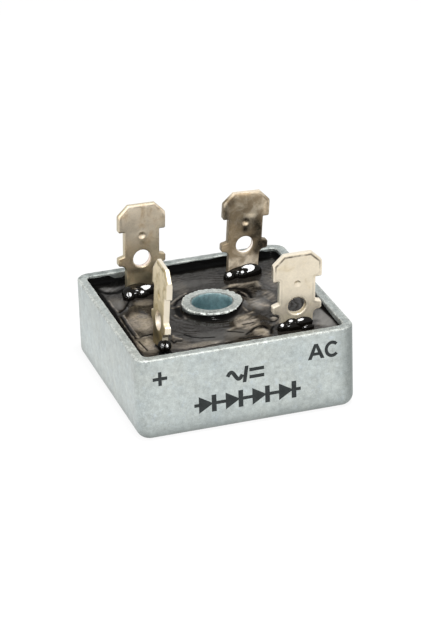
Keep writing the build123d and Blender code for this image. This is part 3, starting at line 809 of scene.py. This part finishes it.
def plus_sign(cx, cz, reach, stroke):
    h = stroke / 2
    arm = ((-h, -reach), (h, -reach), (h, -h))
    return [[(cx + x * c - z * s, cz + x * s + z * c) for c, s in QUARTER_TURNS for x, z in arm]]


def letter_a(x, z, width, height, stroke):
    half = width / 2
    foot, apex = stroke * 1.12, stroke * 0.55
    bar_low = height * 0.24
    bar_high = bar_low + stroke * 0.9
    slope = (half - apex) / height
    left = [(-half, 0), (foot - half, 0), (foot - half + slope * bar_low * 0.98, bar_low)]
    outer = left + [(-u, v) for u, v in reversed(left)] + [(apex, height), (-apex, height)]
    counter_half = half - foot - bar_high * slope
    counter = [(-counter_half, bar_high), (counter_half, bar_high), (0, height - stroke * 1.1)]
    return [[(x + half + u, z + v) for u, v in loop] for loop in (outer, counter)]


def letter_c(cx, cz, height, stroke, squash):
    outer = arc_points(cx, cz, height / 2, 42, 318, 30, squash)
    return [outer + arc_points(cx, cz, height / 2 - stroke, 318, 42, 30, squash * 0.96)]


def wave_sign(x0, x1, cz, lift, stroke):
    upper, lower = [], []
    for i in range(33):
        t = i / 32
        x, z = x0 + (x1 - x0) * t, cz + lift * math.sin(math.tau * t)
        lean = lift * math.tau / (x1 - x0) * math.cos(math.tau * t)
        aside = Vector((-lean, 1)).normalized() * stroke / 2
        upper.append((x + aside.x, z + aside.y))
        lower.append((x - aside.x, z - aside.y))
    return upper + lower[::-1]


def diode_sign(x, cz, size, stroke):
    """Triangle and bar with a lead at each side; returns the loop and the x where it ends."""
    h, half, lead = stroke / 2, size / 2, size * 0.26
    left, right = x + lead, x + lead + size * 0.8
    tip = right - h / half * (right - left) / 2
    end = right + stroke + lead
    low = [(x, -h), (left, -h), (left, -half), (tip, -h * 0.6), (tip, -half), (right + stroke, -half),
           (right + stroke, -h), (end, -h)]
    return [(u, cz + v) for u, v in low] + [(u, cz - v) for u, v in reversed(low)], end


# Shader nodes: each helper finds its node tree from the values that it is given

def feed(socket, value):
    """Links another node's value to a socket, or sets the socket to a number or colour."""
    if isinstance(value, bpy.types.NodeSocket):
        socket.id_data.links.new(value, socket)
    else:
        socket.default_value = value


def set_inputs(made, values):
    for label, value in values.items():
        feed(made.inputs[label], value)


def node(tree, kind, inputs=None, **settings):
    made = tree.nodes.new("ShaderNode" + kind)
    for key, value in settings.items():
        setattr(made, key, value)
    set_inputs(made, inputs or {})
    return made


def empty_tree(owner):
    owner.use_nodes = True
    owner.node_tree.nodes.clear()
    return owner.node_tree


def tree_of(*values):
    return next(value.id_data for value in values if isinstance(value, bpy.types.NodeSocket))


def math_node(operation, *values, clamp=False):
    return node(tree_of(*values), "Math", dict(enumerate(values)), operation=operation, use_clamp=clamp).outputs[0]


def joined_by(operation):
    """A helper that joins its values by one operation, from the first to the last."""
    def join(first, *others):
        for other in others:
            first = math_node(operation, first, other)
        return first
    return join


plus, minus, times, highest = (joined_by(operation) for operation in ("ADD", "SUBTRACT", "MULTIPLY", "MAXIMUM"))


def from_half(shade):
    """A shade that swings round 0, moved to swing round a half and kept within 0 and 1."""
    return math_node("ADD", shade, 0.5, clamp=True)


def mix_colours(factor, first, second, blend="MIX"):
    inputs = {0: factor, 6: first, 7: second}
    return node(tree_of(factor, first, second), "Mix", inputs, data_type="RGBA", blend_type=blend).outputs[2]


def stretch(value, low, high, to_low=0.0, to_high=1.0, smooth=False):
    inputs = {"Value": value, "From Min": low, "From Max": high, "To Min": to_low, "To Max": to_high}
    kind = "SMOOTHSTEP" if smooth else "LINEAR"
    return node(value.id_data, "MapRange", inputs, interpolation_type=kind).outputs["Result"]


def noise_at(place, size, detail=3.0, roughness=0.55, distortion=0.0):
    scale = math_node("DIVIDE", 1.0, size) if isinstance(size, bpy.types.NodeSocket) else 1.0 / size
    return node(place.id_data, "TexNoise", {"Vector": place, "Scale": scale, "Detail": detail, "Roughness": roughness,
                                            "Distortion": distortion}).outputs["Fac"]


def attribute(shader, name):
    return node(shader.id_data, "Attribute", attribute_name=name).outputs["Fac"]


# Shared effects, each a group with its own inputs

def shared_effect(name, inputs, outputs, build):
    """A node group; build gets the group's inputs in order and gives its outputs in order."""
    tree = bpy.data.node_groups.new(name, "ShaderNodeTree")
    for label, value in inputs.items():
        kind = "NodeSocketVector" if value is None else "NodeSocketFloat"
        socket = tree.interface.new_socket(name=label, in_out="INPUT", socket_type=kind)
        if value is not None:
            socket.default_value = value
    for label in outputs:
        tree.interface.new_socket(name=label, in_out="OUTPUT", socket_type="NodeSocketFloat")
    given, out = tree.nodes.new("NodeGroupInput"), tree.nodes.new("NodeGroupOutput")
    set_inputs(out, dict(zip(outputs, build(*(given.outputs[label] for label in inputs)))))
    return tree


def soft_blotches(place, size, contrast):
    large = noise_at(place, size, 2.0, 0.5)
    small = noise_at(place, times(size, 0.31), 3.0, 0.6)
    return [times(minus(plus(times(large, 0.62), times(small, 0.38)), 0.5), contrast)]


def fine_grain(place, size, contrast):
    fine = noise_at(place, size, 2.0, 0.65)
    coarse = noise_at(place, times(size, 2.6), 2.0, 0.6)
    height = plus(times(fine, 0.6), times(coarse, 0.4))
    return [times(minus(height, 0.5), contrast), height]


def worn_edge(place, edge, ragged, size):
    patchy = minus(noise_at(place, size, 3.0, 0.65), 0.5)
    return [stretch(plus(edge, times(patchy, ragged, 2.0)), 0.35, 0.95, smooth=True)]


def tarnish(place, amount, size):
    patches = noise_at(place, size, 5.0, 0.62, 0.6)
    low = plus(times(minus(1.0, amount), 0.6), 0.12)
    return [stretch(patches, low, plus(low, 0.22), smooth=True)]


def rings_round_post(place, spacing, sway):
    parts = node(place.id_data, "SeparateXYZ", {0: place}).outputs
    away_from_post = math_node("SQRT", plus(times(parts[0], parts[0]), times(parts[1], parts[1])))
    turns = math_node("DIVIDE", plus(away_from_post, times(noise_at(place, 2.4, 2.0), sway)), spacing)
    patchy = stretch(noise_at(place, 3.1, 2.0), 0.4, 0.65)
    return [times(math_node("SINE", times(turns, math.tau)), patchy)]


BLOTCHES = shared_effect("soft blotches", {"Place": None, "Size": 3.0, "Contrast": 1.0}, ["Shade"], soft_blotches)
GRAIN = shared_effect("fine grain", {"Place": None, "Size": 0.15, "Contrast": 1.0}, ["Shade", "Height"], fine_grain)
WORN = shared_effect("worn edge", {"Place": None, "Edge": 0.0, "Break": 0.5, "Size": 0.4}, ["Worn"], worn_edge)
TARNISH = shared_effect("tarnish", {"Place": None, "Amount": 0.5, "Size": 1.5}, ["Stain"], tarnish)
RIPPLES = shared_effect("rings round the post", {"Place": None, "Spacing": 0.8, "Sway": 0.6}, ["Shade"],
                        rings_round_post)


def use_group(group, **values):
    return node(values["Place"].id_data, "Group", values, node_tree=group).outputs


def blotches(place, size, contrast):
    return use_group(BLOTCHES, Place=place, Size=size, Contrast=contrast)["Shade"]


def grained(place, size, contrast):
    return use_group(GRAIN, Place=place, Size=size, Contrast=contrast)["Shade"]


# Materials

def new_material(name):
    """A material, its shader and the place on the piece in millimetres."""
    material = bpy.data.materials.new(name)
    tree = empty_tree(material)
    shader = node(tree, "BsdfPrincipled")
    node(tree, "OutputMaterial", {0: shader.outputs[0]})
    where = node(tree, "TexCoord").outputs["Object"]
    place = node(tree, "VectorMath", {0: where, "Scale": 1 / MM}, operation="SCALE").outputs[0]
    return material, shader, place


def rgb(r, g, b):
    return (r, g, b, 1.0)


def srgb(r, g, b):
    shares = (c / 255 for c in (r, g, b))
    return tuple(c / 12.92 if c < 0.04045 else ((c + 0.055) / 1.055) ** 2.4 for c in shares) + (1.0,)


def lighten(colour, shade):
    """Colour scaled by 1 + shade."""
    factor = plus(shade, 1.0)
    grey = node(factor.id_data, "CombineColor", {0: factor, 1: factor, 2: factor}).outputs[0]
    return mix_colours(1.0, colour, grey, "MULTIPLY")


def surface_bump(shader, height, strength, depth):
    bump = node(shader.id_data, "Bump", {"Height": height, "Strength": strength, "Distance": depth * MM})
    feed(shader.inputs["Normal"], bump.outputs[0])


def satin_aluminium():
    material, shader, place = new_material("satin_aluminium")
    rubbed = attribute(shader, "rubbed")
    grain = use_group(GRAIN, Place=place, Size=0.15, Contrast=1.0)
    pitted = times(grain["Shade"], stretch(rubbed, 0.0, 1.0, 1.0, 3.0))
    shade = plus(blotches(place, 4.2, 0.4), blotches(place, 0.95, 0.75), pitted)
    base = mix_colours(from_half(blotches(place, 6.5, 2.2)), srgb(187, 196, 196), srgb(193, 198, 193))
    bluish = stretch(blotches(place, 0.8, 1.0), 0.06, 0.2)
    base = mix_colours(times(bluish, 0.4), base, srgb(206, 218, 228))
    worn = use_group(WORN, Place=place, Edge=rubbed, Break=0.6, Size=0.5)["Worn"]
    base = mix_colours(times(worn, 0.4), base, srgb(220, 216, 209))
    # Painted shade mixed into the aluminium where the cup's loops ask for it
    base = mix_colours(attribute(shader, "painted_shade"), base, srgb(114, 120, 118))
    base = mix_colours(attribute(shader, "bored"), base, srgb(172, 198, 202))
    set_inputs(shader, {"Base Color": lighten(base, shade), "Metallic": 1.0,
                        "Roughness": plus(times(grain["Shade"], 0.5), 0.42, times(rubbed, 0.26))})
    surface_bump(shader, grain["Height"], 0.35, 0.02)
    return material


def cast_epoxy():
    material, shader, place = new_material("cast_epoxy")
    looks = ("beaded", "painted_wall_shade", "folded", "milk_and_painted_reflection", "haze_and_painted_sheen")
    beaded, painted_wall_shade, folded, milk_and_painted_reflection, haze_and_painted_sheen = (attribute(shader, name) for name in looks)
    haze = blotches(place, 3.2, 1.6)
    dull = from_half(haze)
    base = mix_colours(dull, rgb(0.004, 0.0037, 0.0033), rgb(0.011, 0.0092, 0.0075))
    hue = stretch(blotches(place, 2.6, 2.0), -0.35, 0.35)
    brown = mix_colours(hue, rgb(0.21, 0.178, 0.132), rgb(0.19, 0.168, 0.145))
    # Painted reflection of the lugs in brown, partly milky resin, and painted sheen in grey, partly haze
    base = mix_colours(times(milk_and_painted_reflection, plus(grained(place, 0.3, 2.2), 0.8)), base, brown)
    base = mix_colours(times(haze_and_painted_sheen, 0.55), base, rgb(0.16, 0.155, 0.145))
    # Beads are black resin; the wall values and the folded creases are painted shade, black here and dull below
    base = mix_colours(highest(beaded, painted_wall_shade, folded), base, rgb(0.002, 0.002, 0.002))
    ripples = use_group(RIPPLES, Place=place, Spacing=0.8, Sway=2.2)["Shade"]
    gloss = plus(times(haze, 0.12), 0.37, grained(place, 0.28, 1.1), times(ripples, 0.22), times(haze_and_painted_sheen, 0.3))
    gloss = times(gloss, stretch(beaded, 0.0, 0.6, 1.0, 0.2), stretch(folded, 0.15, 0.7, 1.0, 0.15),
                  stretch(painted_wall_shade, 0.15, 0.6, 1.0, 0.12, smooth=True))
    set_inputs(shader, {"Base Color": base, "Roughness": stretch(dull, 0.0, 1.0, 0.5, 0.7), "Coat Weight": gloss,
                        "Coat IOR": 1.5, "Coat Roughness": 0.09, "Specular IOR Level": 0.0})
    surface_bump(shader, use_group(GRAIN, Place=place, Size=0.35, Contrast=1.0)["Height"], 0.12, 0.03)
    return material


def glossy_drop():
    material, shader, place = new_material("glossy_drop")
    dull = from_half(blotches(place, 0.7, 1.2))
    set_inputs(shader, {"Base Color": mix_colours(dull, rgb(0.0015, 0.0014, 0.0012), rgb(0.005, 0.004, 0.003)),
                        "Roughness": stretch(dull, 0.0, 1.0, 0.45, 0.65),
                        "Coat Weight": stretch(dull, 0.1, 0.9, 0.3, 0.2),
                        "Coat IOR": 1.5, "Coat Roughness": 0.1, "Specular IOR Level": 0.0})
    return material


def tinned_sheet(name, head, neck, stem, stain, stained, shift, edge_light=(233, 224, 207),
                 tip_light=(236, 228, 212), crease=0.5, hole=(240, 230, 216), low_metal=1.0, mottle=0.3):
    material, shader, place = new_material(name)
    moved = {0: place, 1: (shift, -shift, shift * 0.5)}
    place = node(place.id_data, "VectorMath", moved, operation="ADD").outputs[0]
    drop, gap = attribute(shader, "from_tip"), attribute(shader, "from_edge")
    stirred = plus(drop, times(blotches(place, 2.0, 1.0), 3.0))
    base = mix_colours(stretch(stirred, 3.6, 6.4, smooth=True), srgb(*head), srgb(*neck))
    base = mix_colours(stretch(stirred, 7.8, 10.0, smooth=True), base, srgb(*stem))
    stains = use_group(TARNISH, Place=place, Amount=stained, Size=1.9)["Stain"]
    base = mix_colours(times(stains, 0.8), base, srgb(*stain))
    grain = use_group(GRAIN, Place=place, Size=0.16, Contrast=mottle)
    # Painted shade and painted highlights on the lug, with some stains
    base = lighten(base, minus(plus(grain["Shade"], blotches(place, 1.3, 0.4)), attribute(shader, "stains_and_painted_light")))
    # Painted shade: a thin dark line along the crease of the edge bevel, near the tip
    off_line = math_node("ABSOLUTE", minus(gap, 0.31))
    broken = stretch(noise_at(place, 0.9, 2.0), 0.35, 0.6, 0.25, 1.0)
    painted_crease_line = times(stretch(off_line, 0.04, 0.16, 1.0, 0.0), crease, stretch(drop, 1.3, 2.6, 1.0, 0.2), broken)
    base = mix_colours(painted_crease_line, base, srgb(52, 40, 28))
    worn = use_group(WORN, Place=place, Edge=stretch(gap, 0.0, 0.16, 1.0, 0.0), Break=0.45, Size=0.7)["Worn"]
    edge_colour = mix_colours(stretch(drop, 0.1, 0.9, 1.0, 0.0), srgb(*edge_light), srgb(*tip_light))
    base = mix_colours(times(worn, 0.85), base, edge_colour)
    base = mix_colours(attribute(shader, "bored"), base, srgb(*hole))
    set_inputs(shader, {"Base Color": base, "Metallic": stretch(drop, 4.5, 9.5, 1.0, low_metal),
                        "Roughness": plus(times(stains, 0.14), 0.36, times(grain["Shade"], 0.3))})
    surface_bump(shader, grain["Height"], 0.25, 0.012)
    return material


def plain_grained(name, first, second, rough, metallic, size):
    material, shader, place = new_material(name)
    grain = use_group(GRAIN, Place=place, Size=size, Contrast=0.5)
    base = mix_colours(from_half(blotches(place, size * 8, 2.0)), srgb(*first), srgb(*second))
    set_inputs(shader, {"Base Color": lighten(base, grain["Shade"]), "Metallic": metallic,
                        "Roughness": plus(times(grain["Shade"], 0.4), rough)})
    surface_bump(shader, grain["Height"], 0.3, 0.01)
    return material


# Pieces

ALUMINIUM = satin_aluminium()
EPOXY = cast_epoxy()
# One tin on all four lugs: the palettes differ partly by tarnish and partly as painted light, and the dark edge
# colours of the back lugs are painted shade
LUG_FINISH = {
    "terminal_ac_front": tinned_sheet(
        "tin_bright", (230, 219, 198), (228, 216, 196), (216, 206, 176), (216, 202, 174), 0.3, 0.0,
        crease=0.85, hole=(192, 178, 148), low_metal=0.4),
    "terminal_ac_back": tinned_sheet(
        "tin_tan", (236, 222, 200), (226, 206, 176), (204, 190, 158), (190, 166, 132), 0.42, 31.0,
        edge_light=(176, 166, 140), tip_light=(196, 186, 162), hole=(240, 222, 210), mottle=0.5),
    "terminal_negative": tinned_sheet(
        "tin_mottled", (206, 192, 170), (188, 170, 142), (240, 226, 204), (140, 122, 96), 0.6, 67.0,
        edge_light=(112, 100, 80), tip_light=(228, 216, 196), hole=(250, 240, 230), low_metal=0.35, mottle=0.8),
    "terminal_positive": tinned_sheet(
        "tin_golden", (214, 199, 164), (208, 190, 148), (184, 166, 116), (150, 132, 84), 0.45, 93.0),
}
INK = plain_grained("dull_ink", (30, 33, 33), (46, 50, 50), 0.7, 0.0, 0.09)
INK.node_tree.nodes["Principled BSDF"].inputs["Specular IOR Level"].default_value = 0.15
INSIDE = {
    "base_insulator": plain_grained("white_ceramic", (236, 234, 226), (226, 223, 214), 0.55, 0.0, 0.12),
    "diode_chip": plain_grained("metallised_silicon", (96, 98, 106), (122, 124, 130), 0.32, 0.8, 0.2),
    "solder": plain_grained("dull_solder", (150, 150, 152), (178, 178, 178), 0.42, 1.0, 0.18),
}

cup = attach(case_cup(ALUMINIUM), "root")
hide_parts("case")
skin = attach(potting_block(EPOXY), "root")
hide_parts("potting_compound")
RESIN = glossy_drop()
for name, lumps in DROPS.items():
    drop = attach(resin_drop(name, lumps, RESIN), "root")
for number, name in enumerate(LUGS):
    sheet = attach(terminal(name, LUG_FINISH[name], 31 + 4 * number), "root")
    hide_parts(name)

STROKE = 0.44
DIODE_ROW, DIODE_SIZE, DIODE_GAP = 3.92, 2.3, 0.01
diodes, end = [], -7.15 - DIODE_GAP
while len(diodes) < 4:
    shape, end = diode_sign(end + DIODE_GAP, DIODE_ROW, DIODE_SIZE, STROKE)
    diodes.append(shape)
MARKS = {
    "mark_plus": plus_sign(-11.42, 8.43, 0.93, STROKE),
    "mark_ac": letter_a(7.78, 7.56, 2.2, 2.08, STROKE) + letter_c(11.0, 8.6, 2.24, STROKE, 0.88),
    "mark_converter": [wave_sign(-2.75, -0.8, 7.17, 0.52, 0.5), bar(0.1, 7.42, 2.03, 7.88), bar(0.1, 6.44, 2.03, 6.9),
                       [(-0.8, 6.07), (-0.32, 6.07), (0.02, 8.26), (-0.46, 8.26)]],
    "mark_diodes": diodes,
}
for name, loops in MARKS.items():
    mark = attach(ink(name, loops, INK), "root")

for name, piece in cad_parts.items():
    for start, material in INSIDE.items():
        if name.startswith(start):
            for slot in piece.material_slots:
                slot.material = material


# Floor, world, lamps and camera

WHITE = (1, 1, 1, 1)
AMBIENT = 0.3
FLOOR_GLOW = 0.92
FLOOR_REACH = 3.0
LAMP_AIM = (0, 0, 0.01)


def background_share(tree):
    """1 for the rays that show the background, 0 for those that light the part."""
    rays = node(tree, "LightPath").outputs
    return highest(*(rays[label] for label in ("Is Camera Ray", "Is Glossy Ray", "Is Transmission Ray")))


def pale_floor():
    material = bpy.data.materials.new("pale_floor")
    tree = empty_tree(material)
    paint = node(tree, "BsdfDiffuse", {"Color": (0.9, 0.9, 0.9, 1)}).outputs[0]
    glow = node(tree, "Emission", {"Color": WHITE, "Strength": 1.0}).outputs[0]
    mixed = node(tree, "MixShader", {0: times(background_share(tree), FLOOR_GLOW), 1: paint, 2: glow})
    node(tree, "OutputMaterial", {0: mixed.outputs[0]})
    mesh = bpy.data.meshes.new("floor")
    mesh.from_pydata([(FLOOR_REACH * x, FLOOR_REACH * y, 0) for x, y in bar(-1, -1, 1, 1)], [], [(0, 1, 2, 3)])
    mesh.materials.append(material)
    return add_object("floor", mesh)


pale_floor()

world = bpy.data.worlds.new("studio")
bpy.context.scene.world = world
studio = empty_tree(world)
level = stretch(background_share(studio), 0.0, 1.0, AMBIENT, 1.0)
node(studio, "OutputWorld", {0: node(studio, "Background", {"Color": WHITE, "Strength": level}).outputs[0]})


def softbox(name, place, size, power):
    lamp = bpy.data.lights.new(name, "AREA")
    lamp.shape = "DISK"
    lamp.size = size
    lamp.energy = power
    holder = add_object(name, lamp)
    holder.location = place
    holder.rotation_euler = (Vector(LAMP_AIM) - Vector(place)).to_track_quat("-Z", "Y").to_euler()


softbox("front_softbox", (-0.07, -0.27, 0.30), 0.06, 0.9)
softbox("overhead_softbox", (0.02, -0.09, 0.42), 0.08, 1.9)
softbox("left_softbox", (-0.28, -0.14, 0.14), 0.06, 0.26)

# Camera at the photograph's viewing angle
EYE = Vector((-0.096765, -0.311577, 0.159054))
TARGET = Vector((0.001939, 0.007115, 0.00555))
ROLL = math.radians(-1.906)
forward = (TARGET - EYE).normalized()
level_right = forward.cross(Vector((0, 0, 1))).normalized()
level_up = level_right.cross(forward)
right = level_right * math.cos(ROLL) + level_up * math.sin(ROLL)
top = right.cross(forward)
lens = bpy.data.cameras.new("camera")
lens.lens = 160.538
lens.sensor_width = 36.0
lens.sensor_fit = "AUTO"
lens.clip_start = 0.01
camera = add_object("camera", lens)
camera.matrix_world = Matrix.Translation(EYE) @ Matrix((right, top, -forward)).transposed().to_4x4()
bpy.context.scene.camera = camera
bpy.context.scene.view_settings.view_transform = "Standard"
